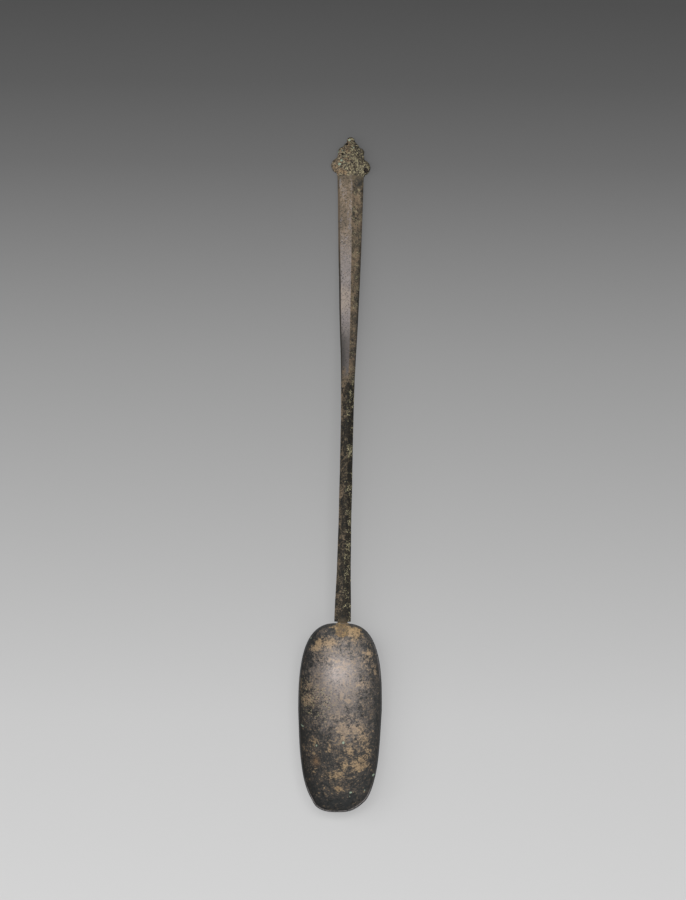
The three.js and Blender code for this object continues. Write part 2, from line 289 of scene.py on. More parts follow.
def rings_to_mesh(name, skins, fields=None):
    """A mesh of closed skins. Each is a grid of rings: quads join neighbouring rings, and a fan about the ring's
    mean point closes each end. Rings turn anticlockwise as seen from the end that they run towards. A field is a
    named value for every point of every ring, and an end's middle takes its ring's mean."""
    points, quads, fans = [], [], []
    base = 0
    for rows in skins:
        count, size = rows.shape[:2]
        points.append(np.vstack([rows.reshape(-1, 3), rows[0].mean(0), rows[-1].mean(0)]))
        ring, column = np.meshgrid(np.arange(count - 1), np.arange(size), indexing="ij")
        a = base + ring * size + column
        b = base + ring * size + (column + 1) % size
        quads.append(np.stack([a, b, b + size, a + size], axis=-1).reshape(-1, 4))
        around = base + np.arange(size)
        after = base + (np.arange(size) + 1) % size
        first = np.full(size, base + count * size)
        top = (count - 1) * size
        fans.append(np.stack([after, around, first], axis=-1))
        fans.append(np.stack([around + top, after + top, first + 1], axis=-1))
        base += count * size + 2
    points = np.vstack(points)
    quads = np.vstack(quads)
    fans = np.vstack(fans)
    mesh = bpy.data.meshes.new(name)
    mesh.vertices.add(len(points))
    mesh.vertices.foreach_set("co", points.astype(np.float32).ravel())
    corners = np.concatenate([quads.ravel(), fans.ravel()])
    mesh.loops.add(len(corners))
    mesh.loops.foreach_set("vertex_index", corners.astype(np.int32))
    starts = np.concatenate([np.arange(len(quads)) * 4, quads.size + np.arange(len(fans)) * 3])
    mesh.polygons.add(len(starts))
    mesh.polygons.foreach_set("loop_start", starts.astype(np.int32))
    mesh.polygons.foreach_set("use_smooth", np.ones(len(starts), bool))
    mesh.update(calc_edges=True)
    for key, grids in (fields or {}).items():
        ends = [np.concatenate([grid.ravel(), [grid[0].mean(), grid[-1].mean()]]) for grid in grids]
        layer = mesh.attributes.new(key, "FLOAT", "POINT")
        layer.data.foreach_set("value", np.concatenate(ends).astype(np.float32))
    piece = bpy.data.objects.new(name, mesh)
    bpy.context.scene.collection.objects.link(piece)
    return piece


class Term:
    """A number socket of a material. Arithmetic on it adds Math nodes."""

    def __init__(self, finish, socket):
        self.finish = finish
        self.socket = socket

    def __add__(self, other):
        return self.finish.math("ADD", self, other)

    def __sub__(self, other):
        return self.finish.math("SUBTRACT", self, other)

    def __rsub__(self, other):
        return self.finish.math("SUBTRACT", other, self)

    def __mul__(self, other):
        return self.finish.math("MULTIPLY", self, other)

    def __truediv__(self, other):
        return self.finish.math("DIVIDE", self, other)

    __radd__ = __add__
    __rmul__ = __mul__


class Finish:
    """One material, built node by node. Its patterns are placed in millimetres of the object's own space."""

    def __init__(self, name):
        self.material = bpy.data.materials.new(name)
        self.material.use_nodes = True
        self.nodes = self.material.node_tree.nodes
        self.links = self.material.node_tree.links
        self.nodes.clear()
        place = self.node("ShaderNodeTexCoord").outputs["Object"]
        scaled = self.node("ShaderNodeVectorMath", {"operation": "SCALE"}, {0: place, 3: 1 / MM})
        self.place = scaled.outputs[0]
        split = self.node("ShaderNodeSeparateXYZ", {}, {0: self.place})
        self.x, self.y, self.z = (Term(self, socket) for socket in split.outputs)

    def node(self, kind, settings=None, sockets=None):
        """Adds a node of a type, with its settings and then the values or links of its sockets."""
        made = self.nodes.new(kind)
        for key, value in (settings or {}).items():
            setattr(made, key, value)
        for key, value in (sockets or {}).items():
            value = value.socket if isinstance(value, Term) else value
            if isinstance(value, bpy.types.NodeSocket):
                self.links.new(value, made.inputs[key])
            else:
                made.inputs[key].default_value = value
        return made

    def math(self, operation, *values):
        """One Math node on numbers or terms."""
        made = self.node("ShaderNodeMath", {"operation": operation}, dict(enumerate(values)))
        return Term(self, made.outputs[0])

    def ramp(self, value, low, high):
        """A smooth step from 0 at low to 1 at high."""
        sockets = {"Value": value, "From Min": low, "From Max": high}
        made = self.node("ShaderNodeMapRange", {"interpolation_type": "SMOOTHSTEP"}, sockets)
        return Term(self, made.outputs[0])

    def field(self, name):
        """A value that the piece's own mesh carries for each of its points."""
        return Term(self, self.node("ShaderNodeAttribute", {"attribute_name": name}).outputs["Fac"])

    def noise(self, size, detail=3.0, rough=0.5, stretch=(1, 1, 1), shift=0.0, twist=0.0):
        """Cloudy noise from 0 to 1 whose lumps are about as wide as size, in millimetres."""
        settings = {"vector_type": "POINT"}
        moved = {"Vector": self.place, "Scale": stretch, "Location": (shift, shift, shift)}
        mapped = self.node("ShaderNodeMapping", settings, moved).outputs[0]
        sockets = {"Vector": mapped, "Scale": 1 / size, "Detail": detail, "Roughness": rough}
        sockets["Distortion"] = twist
        return Term(self, self.node("ShaderNodeTexNoise", {}, sockets).outputs[0])

    def cells(self, size, shift=0.0):
        """A random value from 0 to 1 in each of scattered cells about as wide as size, in millimetres."""
        moved = {"Vector": self.place, "Location": (shift, shift, shift)}
        mapped = self.node("ShaderNodeMapping", {}, moved).outputs[0]
        made = self.node("ShaderNodeTexVoronoi", {}, {"Vector": mapped, "Scale": 1 / size})
        return Term(self, self.node("ShaderNodeSeparateColor", {}, {0: made.outputs["Color"]}).outputs[0])

    def mottle(self, size, shift, stretch=(1, 1, 1), fine=0.3):
        """Ragged blotches about as wide as size, broken up by grains of half a millimetre to one."""
        blotch = self.noise(size, 7.0, 0.72, stretch, shift)
        grain = self.noise(0.8, 4.0, 0.75, shift=shift + 20.0) * 0.72 + self.cells(0.45, shift + 20.0) * 0.28
        return blotch * (1.0 - fine) + grain * fine

    def grains(self, size, shift=0.0, feature="F1"):
        """Distance to the nearest of scattered points about size apart, in millimetres."""
        moved = {"Vector": self.place, "Location": (shift, shift, shift)}
        mapped = self.node("ShaderNodeMapping", {}, moved).outputs[0]
        sockets = {"Vector": mapped, "Scale": 1 / size}
        made = self.node("ShaderNodeTexVoronoi", {"feature": feature}, sockets)
        return Term(self, made.outputs["Distance"])

    def around(self, across, along, width, reach, soft=0.6):
        """A patch seen from above: 1 inside an ellipse of half axes width and reach, fading to 0 outside it."""
        x = (self.x - across) / width
        y = (self.y - along) / reach
        return 1.0 - self.ramp(x * x + y * y, 1.0 - soft, 1.0 + soft)

    def curls(self, size, width, shift=0.0):
        """Thin curly lines: where cloudy noise passes its middle value."""
        middle = self.math("ABSOLUTE", self.noise(size, 2.0, 0.5, shift=shift) - 0.5)
        return self.ramp(middle, width, 0.4 * width)

    def either(self, first, second):
        """The larger of two masks."""
        return self.math("MAXIMUM", first, second)

    def blend(self, mask, below, above):
        """A colour laid over another where the mask is 1."""
        sockets = {0: mask, 6: self.tint(below), 7: self.tint(above)}
        return self.node("ShaderNodeMix", {"data_type": "RGBA"}, sockets).outputs[2]

    def tint(self, value):
        """A colour socket as it is, or three numbers with their alpha."""
        return value if isinstance(value, bpy.types.NodeSocket) else (*value, 1.0)

    def bump(self, height, distance, under=None):
        """Turns a height from 0 to 1 into a normal; distance is in millimetres."""
        sockets = {"Height": height, "Distance": distance * MM}
        if under is not None:
            sockets["Normal"] = under
        return self.node("ShaderNodeBump", {}, sockets).outputs[0]

    def shade(self, tint, rough, metallic=0.0, normal=None, gloss=1.5, gloss_tint=(1.0, 1.0, 1.0)):
        """Ends the material in one Principled shader. Gloss is its index of refraction."""
        sockets = {"Base Color": tint, "Roughness": rough, "Metallic": metallic, "IOR": gloss}
        sockets["Specular Tint"] = (*gloss_tint, 1.0)
        if normal is not None:
            sockets["Normal"] = normal
        body = self.node("ShaderNodeBsdfPrincipled", {}, sockets)
        self.node("ShaderNodeOutputMaterial", {}, {"Surface": body.outputs[0]})
        return self.material


def dress(piece, material):
    """Gives a piece its material and lets it ride on the one body."""
    piece.data.materials.clear()
    piece.data.materials.append(material)
    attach(piece, "root")
    return piece


def bowl_outline(s, angles, margin=0.0):
    """Outline of the bowl from above, grown by a margin: x is the half width times the cosine raised to two over
    the squareness, y the reach times the sine raised likewise; the tip's half is waisted and skewed."""
    heel = np.sin(angles) > 0
    power = 2.0 / np.where(heel, s.heel_squareness, s.tip_squareness)
    across = np.sign(np.cos(angles)) * np.abs(np.cos(angles)) ** power
    out = np.abs(np.sin(angles)) ** power
    waist = np.where(heel, 1.0, 1.0 - s.tip_waist * out * (1.0 - out))
    skew = np.where(heel, 0.0, s.tip_skew * smoothstep(out, 0.86, 0.97))
    reach = np.where(heel, s.heel_reach + margin, -(s.tip_reach + margin))
    return np.stack([across * (s.width / 2 + margin) * waist - skew, out * reach], axis=-1)


def even_angles(s):
    """Angles at which the rim's points lie at equal steps along it."""
    dense = np.linspace(0.0, 2 * np.pi, 6001)
    rim = bowl_outline(s, dense)
    steps = np.linalg.norm(np.diff(rim, axis=0), axis=1)
    travelled = np.concatenate([[0.0], np.cumsum(steps)])
    wanted = np.linspace(0.0, travelled[-1], s.columns, endpoint=False)
    return np.interp(wanted, travelled, dense)


def bowl_climb(s, shares):
    """How far up the wall the bowl is at a share of its outline: 1 - (1 - t to the bend) to the rise."""
    out = np.clip((shares - s.rest_share) / (1.0 - s.rest_share), 0.0, 1.0)
    return 1.0 - (1.0 - out**s.floor_bend) ** s.wall_rise


def bowl_rings(s, shares, foot, margin, lower):
    """Rings of the bowl's skin: its outline scaled by each share, at the height that the wall has climbed to."""
    angles = even_angles(s)
    rim = bowl_outline(s, angles)
    reach = np.where(rim[:, 1] > 0, s.heel_reach, s.tip_reach)
    lift = s.rim_sheer * (1.0 - np.minimum(1.0, (rim[:, 1] / reach) ** 2))
    top = s.rim_height - lift - lower
    plan = bowl_outline(s, angles, margin)
    flat = shares[:, None, None] * plan[None]
    height = foot + (top[None] - foot) * bowl_climb(s, shares)[:, None]
    return np.concatenate([flat, height[:, :, None]], axis=2)


def bowl_skin(s):
    """The bowl as rings from the middle of its back over the rounded lip to the middle of its inside, with three
    fields: how far each ring belongs to the inside, to the lip, and to the upper wall."""
    flat = np.linspace(0.02, s.rest_share, 6)[:-1]
    turn = np.sin(np.linspace(0.0, np.pi / 2, s.rows))
    shares = np.concatenate([flat, s.rest_share + (1.0 - s.rest_share) * turn])
    radius = s.rim_wall / 2
    outside = bowl_rings(s, shares, 0.0, 0.0, radius)
    inside = bowl_rings(s, shares, s.floor_wall, -s.rim_wall, radius)[::-1]
    turns = np.linspace(0.0, np.pi, 12)[1:-1]
    lip = []
    for angle in turns:
        margin = radius * (math.cos(angle) - 1.0)
        lip.append(bowl_rings(s, np.array([1.0]), 0.0, margin, radius * (1.0 - math.sin(angle))))
    rows = np.concatenate([outside, *lip, inside])
    none, all_of = np.zeros(len(shares)), np.ones(len(shares))
    inner = np.concatenate([none, smoothstep(turns, 0.3, 2.4), all_of])
    near = smoothstep(shares, 0.985, 1.0)
    edge = np.concatenate([near, np.ones(len(turns)), near[::-1]])
    high = smoothstep(shares, 0.7, 0.99)
    wall = np.concatenate([high, np.ones(len(turns)), high[::-1]])
    spread = np.ones(rows.shape[:2])
    return rows, inner[:, None] * spread, edge[:, None] * spread, wall[:, None] * spread


def patches(rows, places):
    """Soft patches seen from above: one minus the product of one minus each patch's bell, which is its strength
    times e to minus the squared distance from its middle, counted in its half axes. Places are in millimetres."""
    clear = np.ones(rows.shape[:2])
    for across, along, width, reach, strength in places:
        x = (rows[..., 0] / MM - across) / width
        y = (rows[..., 1] / MM - along) / reach
        clear *= 1.0 - strength * np.exp(-x * x - y * y)
    return 1.0 - clear


# Where the inside of the bowl is rubbed: across, along, half width, half length and strength.
RUBBED = (
    (0.8, 30.3, 3.6, 2.2, 0.95), (5.4, 28.3, 2.1, 1.9, 0.75), (-3.9, 25.8, 3.4, 1.4, 0.8), (-7.7, 25.2, 2.0, 1.7, 0.55),
    (-8.9, 23.0, 1.5, 1.6, 0.4), (-5.5, 20.0, 3.4, 2.2, 0.3), (-1.2, 18.5, 2.4, 2.0, 0.3), (9.6, 20.5, 2.0, 3.8, 0.4),
    (7.4, 11.9, 1.7, 1.4, 0.5), (0.5, 8.1, 1.0, 1.0, 0.9), (2.7, 6.0, 0.6, 1.0, 0.9), (12.2, 15.6, 1.1, 1.4, 0.5),
    (-11.2, 10.5, 1.3, 1.4, 0.6), (-13.8, 9.8, 0.4, 2.3, 1.0), (-11.5, 4.3, 2.4, 1.6, 0.5), (-8.8, 4.0, 1.7, 1.2, 0.4),
    (0.6, 0.0, 5.2, 1.2, 0.5), (0.8, -4.3, 2.0, 2.0, 0.8), (5.0, -4.5, 2.4, 1.9, 0.85), (7.7, -4.6, 1.5, 1.6, 0.6),
    (8.0, -8.6, 2.8, 1.7, 0.5), (1.3, -7.6, 1.3, 2.4, 0.5), (3.8, -12.8, 1.5, 1.6, 0.65), (-3.5, -11.2, 0.7, 3.0, 0.75),
    (7.3, -15.7, 2.4, 1.6, 0.65), (7.0, -18.7, 2.4, 1.8, 0.9), (10.0, -12.9, 1.4, 2.4, 0.3), (1.6, -18.2, 1.7, 1.6, 0.65),
    (-2.7, -22.4, 2.2, 1.4, 0.55), (-0.3, -21.6, 1.4, 0.8, 0.45), (-0.4, -27.3, 0.9, 1.1, 1.0),
    (-8.6, -9.3, 1.2, 1.7, 0.5), (-9.3, -20.7, 2.0, 1.2, 0.3), (10.8, -19.9, 0.7, 0.7, 0.6), (-10.6, 7.0, 3.2, 4.6, 0.4),
)
# Where wiping has left the bowl smoothest and glossiest, and where a painted sheen lightens its colour: the long middle
# of its floor.
SHEEN = ((-0.8, 14.0, 9.0, 12.0, 1.0), (-1.5, 3.0, 8.5, 9.0, 0.4), (1.4, 25.4, 3.6, 2.6, 0.2), (3.5, -5.0, 7.0, 5.0, 0.3))
# Small spots of green corrosion and two of rust.
GREEN_SPOTS = (
    (-13.0, -5.3, 0.75, 0.35, 1.0), (-8.0, -11.1, 0.35, 0.4, 1.0), (1.3, -9.5, 0.55, 0.55, 1.0),
    (11.8, -23.6, 0.6, 0.45, 1.0), (4.0, -29.0, 0.6, 0.4, 1.0), (8.9, -28.7, 0.3, 0.3, 1.0),
    (3.8, -30.4, 0.2, 0.9, 0.8), (-10.2, 26.2, 0.3, 0.3, 0.9),
)
RUST_SPOTS = ((-8.0, -17.2, 1.0, 1.5, 0.9), (-0.4, -27.3, 0.8, 0.8, 0.5))
PITTED = ((-7.5, 6.0, 4.8, 4.2, 1.0), (-12.4, 8.4, 1.7, 5.1, 0.9), (-8.0, 0.3, 3.5, 2.8, 0.7))


class SPOON_OT_bowl(Operator):
    """Raises the bowl with its hammer marks and the wear along its rim"""

    bl_idname = "spoon.bowl"
    bl_label = "Bowl"

    def execute(self, context):
        s = sizes("spoon_bowl")
        rows, inner, edge, wall = bowl_skin(s)
        fields = {
            "inner": [inner],
            "edge": [edge],
            "wall": [wall],
            "sheen": [patches(rows, SHEEN) * inner],
            "rubbed": [patches(rows, RUBBED)],
            "green": [patches(rows, GREEN_SPOTS) * inner],
            "rust": [patches(rows, RUST_SPOTS) * inner],
            "pitted": [patches(rows, PITTED)],
        }
        points = rows.reshape(-1, 3)
        dents = layered_noise(points, s.dent_size, seed=11, layers=3, fall=0.4)
        rows = rows + s.dent * dents.reshape(rows.shape[:2])[..., None] * outward(rows)
        near_rim = smoothstep(rows[..., 2], s.rim_height - 3.0 * MM, s.rim_height - 0.6 * MM)
        wear = layered_noise(points, s.nick_size, seed=23, layers=3, fall=0.6)
        worn = np.minimum(0.0, wear.reshape(rows.shape[:2]) + 0.1) * near_rim * s.nick
        rows[..., 2] += worn
        rows[..., 2] = np.maximum(rows[..., 2], 0.0)
        piece = rings_to_mesh("spoon_bowl", [rows], fields)
        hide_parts("bowl")
        dress(piece, bowl_finish())
        return {"FINISHED"}


def arch_points(s, shares):
    """Points and unit directions on the handle's middle line, at equal shares of its length: a cubic Bezier that
    leaves the neck rising and comes down level at the finial."""
    start = sizes("spoon_bowl").heel_reach + s.start
    neck = sizes("spoon_bowl").rim_height - s.neck_thickness / 2
    lead = (s.end - start) * s.arch_reach
    control = np.array([
        (start, neck),
        (start + lead, neck + s.arch_rise),
        (s.end - lead, s.end_height),
        (s.end, s.end_height),
    ])
    t = np.linspace(0.0, 1.0, 2001)[:, None]
    weights = np.hstack([(1 - t) ** 3, 3 * t * (1 - t) ** 2, 3 * t * t * (1 - t), t**3])
    line = weights @ control
    travelled = np.concatenate([[0.0], np.cumsum(np.linalg.norm(np.diff(line, axis=0), axis=1))])
    at = np.stack([np.interp(shares * travelled[-1], travelled, line[:, k]) for k in (0, 1)], axis=1)
    way = np.gradient(at, axis=0)
    return at, way / np.linalg.norm(way, axis=1, keepdims=True)


def sideways(s, shares):
    """How far the handle's middle stands to the right of the bowl's axis."""
    return s.neck_offset + s.lean * shares + s.bow * 4 * shares * (1 - shares)


def bar_sections(s, shares):
    """Cross-sections of the bar as (across, up): a crowned face that becomes a ridge, two bevels and a full back,
    each a polygon resampled at equal steps and rounded by averaging neighbours."""
    neck = through([(0, 1), (0.04, 0.78), (0.1, 0.33), (0.16, 0.12), (0.26, 0), (1, 0)], shares)
    blade = through(
        [(0, 0), (0.36, 0), (0.54, 0.1), (0.65, 0.38), (0.76, 0.61), (1, 1)], shares
    )
    width = s.stem_width + (s.neck_width - s.stem_width) * neck
    width = width + (s.blade_width - s.stem_width) * blade
    thick = s.stem_thickness + (s.neck_thickness - s.stem_thickness) * neck
    thick = thick + (s.blade_thickness - s.stem_thickness) * blade
    ridged = smoothstep(shares, s.blade_start, s.blade_start + s.ridge_run)
    sections = []
    places = []
    for half, high, ridge in zip(width / 2, thick / 2, ridged):
        bevel = 0.35 * half * (1 - ridge) + min(s.edge_bevel, 0.3 * half) * ridge
        edge = (0.3 - 0.15 * ridge) * high
        brow = (0.6 - 0.18 * ridge) * high
        x = np.linspace(-1.0, 1.0, 41)
        face_x = x * (half - bevel) + s.ridge_shift * ridge * (1 - np.abs(x))
        face_z = brow + (high - brow) * (1 - np.abs(x) ** (2.0 - ridge))
        back_x = -x * (half - bevel)
        back_z = -brow - (0.85 * high - brow) * (1 - x * x)
        outline = np.vstack([
            [(half, edge), (half, -edge)],
            np.stack([back_x, back_z], axis=1),
            [(-half, -edge), (-half, edge)],
            np.stack([face_x, face_z], axis=1),
            [(half, edge)],
        ])
        steps = np.linalg.norm(np.diff(outline, axis=0), axis=1)
        travelled = np.concatenate([[0.0], np.cumsum(steps)])
        wanted = np.linspace(0.0, travelled[-1], s.columns, endpoint=False)
        even = np.stack([np.interp(wanted, travelled, outline[:, k]) for k in (0, 1)], axis=1)
        sections.append((np.roll(even, 1, axis=0) + 2 * even + np.roll(even, -1, axis=0)) / 4)
        places.append(even[:, 0] / half)
    return np.array(sections), np.array(places)


def bar_skin(s):
    """The bar as rings that stand square on the arch, from the shoulders to the blade's end, closed by a smaller
    ring in the plane of each end, with two fields: the place across the bar from -1 to 1, and the share of its
    length."""
    shares = np.linspace(0.0, 1.0, s.rows)
    at, way = arch_points(s, shares)
    section, place = bar_sections(s, shares)
    across = section[..., 0] + sideways(s, shares)[:, None]
    up = section[..., 1]
    rows = np.stack([
        across,
        at[:, 0, None] - way[:, 1, None] * up,
        at[:, 1, None] + way[:, 0, None] * up,
    ], axis=2)
    ends = [rows[k].mean(0) + 0.93 * (rows[k] - rows[k].mean(0)) for k in (0, -1)]
    rows = np.concatenate([ends[0][None], rows, ends[1][None]])
    length_share = np.repeat(np.pad(shares, 1, mode="edge")[:, None], s.columns, axis=1)
    return rows, np.pad(place, ((1, 1), (0, 0)), mode="edge"), length_share


def tongue_skin(s, handle, bowl, spread=0.0):
    """The tongue as rings from its tip up the heel's back to the neck: the wall's line at the middle of the heel,
    with a half-round section standing out from it, thinner and narrower towards the tip."""
    run = np.sin(np.linspace(0.0, np.pi / 2, 70))
    start = s.start - spread / bowl.heel_reach
    shares = start + (1.0 - start) * run
    along = shares * bowl.heel_reach
    height = bowl.rim_height * bowl_climb(bowl, shares)
    line = np.stack([along, height], axis=1)
    way = np.gradient(line, axis=0)
    way /= np.linalg.norm(way, axis=1, keepdims=True)
    point = np.sqrt(1.0 - (1.0 - np.minimum(1.0, 0.04 + 4.0 * run)) ** 2)
    half = ((s.tip_width + (s.width - s.tip_width) * run) / 2 + spread) * point
    thick = (s.tip_thickness + (s.thickness - s.tip_thickness) * run**4) * (0.2 + 0.8 * point)
    angle = np.linspace(0.0, 2 * np.pi, 48, endpoint=False)
    round_x = np.sign(np.cos(angle)) * np.abs(np.cos(angle)) ** 0.7
    round_out = np.where(np.sin(angle) > 0, np.abs(np.sin(angle)) ** 0.8, -0.3 * np.abs(np.sin(angle)))
    across = half[:, None] * round_x + handle.neck_offset
    out = s.film * 0.4 + (thick[:, None] + s.film * 0.6) * round_out
    return np.stack([
        across,
        line[:, 0, None] + way[:, 1, None] * out,
        line[:, 1, None] - way[:, 0, None] * out,
    ], axis=2)


class SPOON_OT_handle(Operator):
    """Forges the handle: tongue, shoulders, slender stem and ridged blade, with pits in its surface"""

    bl_idname = "spoon.handle"
    bl_label = "Handle"

    def execute(self, context):
        s = sizes("spoon_handle")
        bar, place, run = bar_skin(s)
        tongue = tongue_skin(sizes("spoon_tongue"), s, sizes("spoon_bowl"))
        bare = np.zeros(tongue.shape[:2])
        skins = []
        for rows in (bar, tongue):
            points = rows.reshape(-1, 3)
            wave = lattice_noise(points * (1, 0.4, 1), 4.0 * MM, seed=31)
            pits = layered_noise(points, 1.1 * MM, seed=37, layers=3, fall=0.6)
            rise = s.wave * wave + s.pit * np.minimum(0.0, pits + 0.15)
            skins.append(rows + rise.reshape(rows.shape[:2])[..., None] * outward(rows))
        fields = {"across": [place, bare], "run": [run, bare]}
        piece = rings_to_mesh("spoon_handle", skins, fields)
        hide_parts("handle")
        dress(piece, handle_finish(s))
        return {"FINISHED"}


# The finial's drilled eyes: across and along from the middle of its foot, and radius, in millimetres.
EYES = ((5.4, 1.45, 0.72), (-2.95, 7.4, 0.38), (-1.5, 11.4, 0.45))


def finial_lobes(s):
    """Centre (across, along) and radius of each lobe and of the bud. The right lobes are nearer the foot."""
    return (
        (s.low_across, s.low_along - s.low_drop, s.low_radius),
        (-s.low_across, s.low_along, s.low_radius),
        (s.mid_across, s.mid_along - s.mid_drop, s.mid_radius),
        (-s.mid_across, s.mid_along, s.mid_radius),
        (-s.bud_shift, s.length - s.bud_radius, s.bud_radius),
    )


def finial_height(s, across, along, shift):
    """Height of the finial's face above its middle plane: the highest of a leaf, which falls from a ridge to a
    brow as 1 - t to the 1.3 and then down a bevel, and of the lobes, which are domes. It is negative outside."""
    bud = s.length - s.bud_radius
    place = np.clip(along, 0.0, bud)
    low, middle = 3.35 * MM, 8.45 * MM
    half = through([
        (0.0, s.foot_width), (low, s.low_width), ((low + middle) / 2, s.waist_width),
        (middle, s.mid_width), ((middle + bud) / 2, s.neck_width), (bud, 0.75 * s.bud_radius),
    ], place)
    thick = through([
        (0.0, s.foot_half), (low, s.half), (middle, s.half), (bud, 0.8 * s.bud_radius),
    ], place)
    bevel = 0.12 * half
    side = np.where(across > shift, half - bevel - shift, half - bevel + shift)
    out = np.abs(across - shift) / side
    face = thick * (0.55 + 0.45 * (1.0 - np.minimum(out, 1.0) ** 1.3))
    drop = np.clip((np.abs(across) - half + bevel) / bevel, 0.0, 1.0)
    leaf = face - 0.25 * thick * drop - 0.3 * MM * np.clip(-along / s.lap, 0.0, 1.0)
    solid = (np.abs(across) < half) & (along > -s.lap) & (along < bud)
    height = np.where(solid, leaf, -1.0)
    for x, y, radius in finial_lobes(s):
        room = 1.0 - ((across - x) ** 2 + (along - y) ** 2) / radius**2
        dome = min(radius, s.half) * s.lobe_flatness * np.sqrt(np.clip(room, 0.0, None))
        height = np.maximum(height, np.where(room > 0, dome, -1.0))
    return height


def finial_skin(s, shift):
    """The finial as rings about its middle, from its back round its edge to its face. Each ring is a share of
    the farthest point that the finial reaches in each direction, and its back mirrors its face."""
    angle = np.linspace(0.0, 2 * np.pi, s.columns, endpoint=False)
    middle = 0.4 * s.length
    reach = np.linspace(0.0, s.length, 1800)
    across = reach[None] * np.cos(angle)[:, None]
    along = middle + reach[None] * np.sin(angle)[:, None]
    solid = finial_height(s, across, along, shift) > 0
    edge = np.max(np.where(solid, reach[None], 0.0), axis=1)
    edge = (np.roll(edge, 1) + 2 * edge + np.roll(edge, -1)) / 4
    out = np.sin(np.linspace(0.02, np.pi / 2, s.rows)) * 0.995
    shares = np.concatenate([out, out[::-1]])[:, None]
    across = shares * edge[None] * np.cos(angle)[None]
    along = middle + shares * edge[None] * np.sin(angle)[None]
    height = np.clip(finial_height(s, across, along, shift), 0.05 * MM, None)
    side = np.repeat([-1.0, 1.0], s.rows)[:, None]
    rows = np.stack([across, along, side * height], axis=2)
    rim = (rows[s.rows - 1] + rows[s.rows]) / 2
    rim[:, 0] += 0.1 * MM * np.cos(angle)
    rim[:, 1] += 0.1 * MM * np.sin(angle)
    return np.insert(rows, s.rows, rim, axis=0)


class SPOON_OT_finial(Operator):
    """Casts the lobed finial with its drilled eyes and covers it in granular corrosion"""

    bl_idname = "spoon.finial"
    bl_label = "Finial"

    def execute(self, context):
        s = sizes("spoon_finial")
        handle = sizes("spoon_handle")
        rows = finial_skin(s, handle.ridge_shift)
        face = rows[..., 2] > 0
        eyes = np.zeros(rows.shape[:2])
        for across, along, radius in np.array(EYES) * MM:
            away = np.hypot(rows[..., 0] - across, rows[..., 1] - along)
            hole = 1.0 - smoothstep(away, 0.8 * radius, 1.25 * radius)
            eyes = np.maximum(eyes, np.where(face, hole, 0.0))
        brim = 1.0 - smoothstep(np.abs(rows[..., 2]), 0.2 * MM, 0.9 * MM)
        rows[..., 2] -= s.eye_depth * eyes
        points = rows.reshape(-1, 3)
        normal = outward(rows)
        swell = layered_noise(points, 2.2 * MM, seed=41, layers=2)
        grains = layered_noise(points, s.grain, seed=47, layers=3, fall=0.75)
        rise = (s.swell * swell + s.crust * grains).reshape(rows.shape[:2])
        rows = rows + rise[..., None] * normal
        rows += np.array([sideways(handle, 1.0), FINIAL_LOW.y, handle.end_height])
        rows[..., 2] = np.maximum(rows[..., 2], 0.0)
        relief = grains.reshape(rows.shape[:2]) + 0.5 * swell.reshape(rows.shape[:2])
        fields = {"eye": [eyes], "relief": [relief], "brim": [brim]}
        piece = rings_to_mesh("spoon_finial", [rows], fields)
        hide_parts("finial")
        dress(piece, finial_finish())
        return {"FINISHED"}


def solder_skin(s, handle, bowl):
    """The solder as rings along a path up the heel's back, over the rim and a little way down its inside. Each is
    a flat oval that stands on the bowl's skin and reaches into its wall."""
    run = np.sin(np.linspace(0.0, np.pi / 2, 60))
    start = s.start - s.bead / bowl.heel_reach
    shares = start + (1.0 - start) * run
    back = np.stack([shares * bowl.heel_reach, bowl.rim_height * bowl_climb(bowl, shares)], axis=1)
    radius = bowl.rim_wall / 2
    back[:, 1] = np.minimum(back[:, 1], bowl.rim_height - radius)
    turn = np.linspace(0.0, np.pi, 14)[1:-1, None]
    centre = np.array([bowl.heel_reach - radius, bowl.rim_height - radius])
    lip = centre + radius * np.hstack([np.cos(turn), np.sin(turn)])
    fall = np.linspace(1.0, s.smear_start, 30)
    deep = bowl.floor_wall + (bowl.rim_height - radius - bowl.floor_wall) * bowl_climb(bowl, fall)
    inside = np.stack([fall * (bowl.heel_reach - bowl.rim_wall), deep], axis=1)
    line = np.vstack([back, lip, inside])
    steps = np.linalg.norm(np.diff(line, axis=0), axis=1)
    travelled = np.concatenate([[0.0], np.cumsum(steps)])
    wanted = np.linspace(0.0, travelled[-1], 150)
    line = np.stack([np.interp(wanted, travelled, line[:, k]) for k in (0, 1)], axis=1)
    way = np.gradient(line, axis=0)
    way /= np.linalg.norm(way, axis=1, keepdims=True)
    over = wanted - travelled[len(back) + len(lip) // 2]
    low = wanted / travelled[len(back)]
    tongue = (s.tip_width + (s.width - s.tip_width) * np.clip(low, 0, 1)) / 2 + s.bead
    half = np.where(over < 0, tongue, s.smear_width / 2)
    half = np.convolve(np.pad(half, 4, mode="edge"), np.full(9, 1 / 9), mode="valid")
    ends = np.minimum(wanted, travelled[-1] - wanted)
    half = half * np.sqrt(np.clip(ends / (1.2 * MM), 0.02, 1.0))
    thick = np.where(over < 0, s.film * 0.75, s.smear) * np.sqrt(np.clip(ends / (1.0 * MM), 0.05, 1.0))
    angle = np.linspace(0.0, 2 * np.pi, 40, endpoint=False)
    across = half[:, None] * np.cos(angle) + handle.neck_offset
    out = np.where(np.sin(angle) > 0, thick[:, None] * np.sin(angle), 0.25 * MM * np.sin(angle))
    return np.stack([
        across,
        line[:, 0, None] + way[:, 1, None] * out,
        line[:, 1, None] - way[:, 0, None] * out,
    ], axis=2)


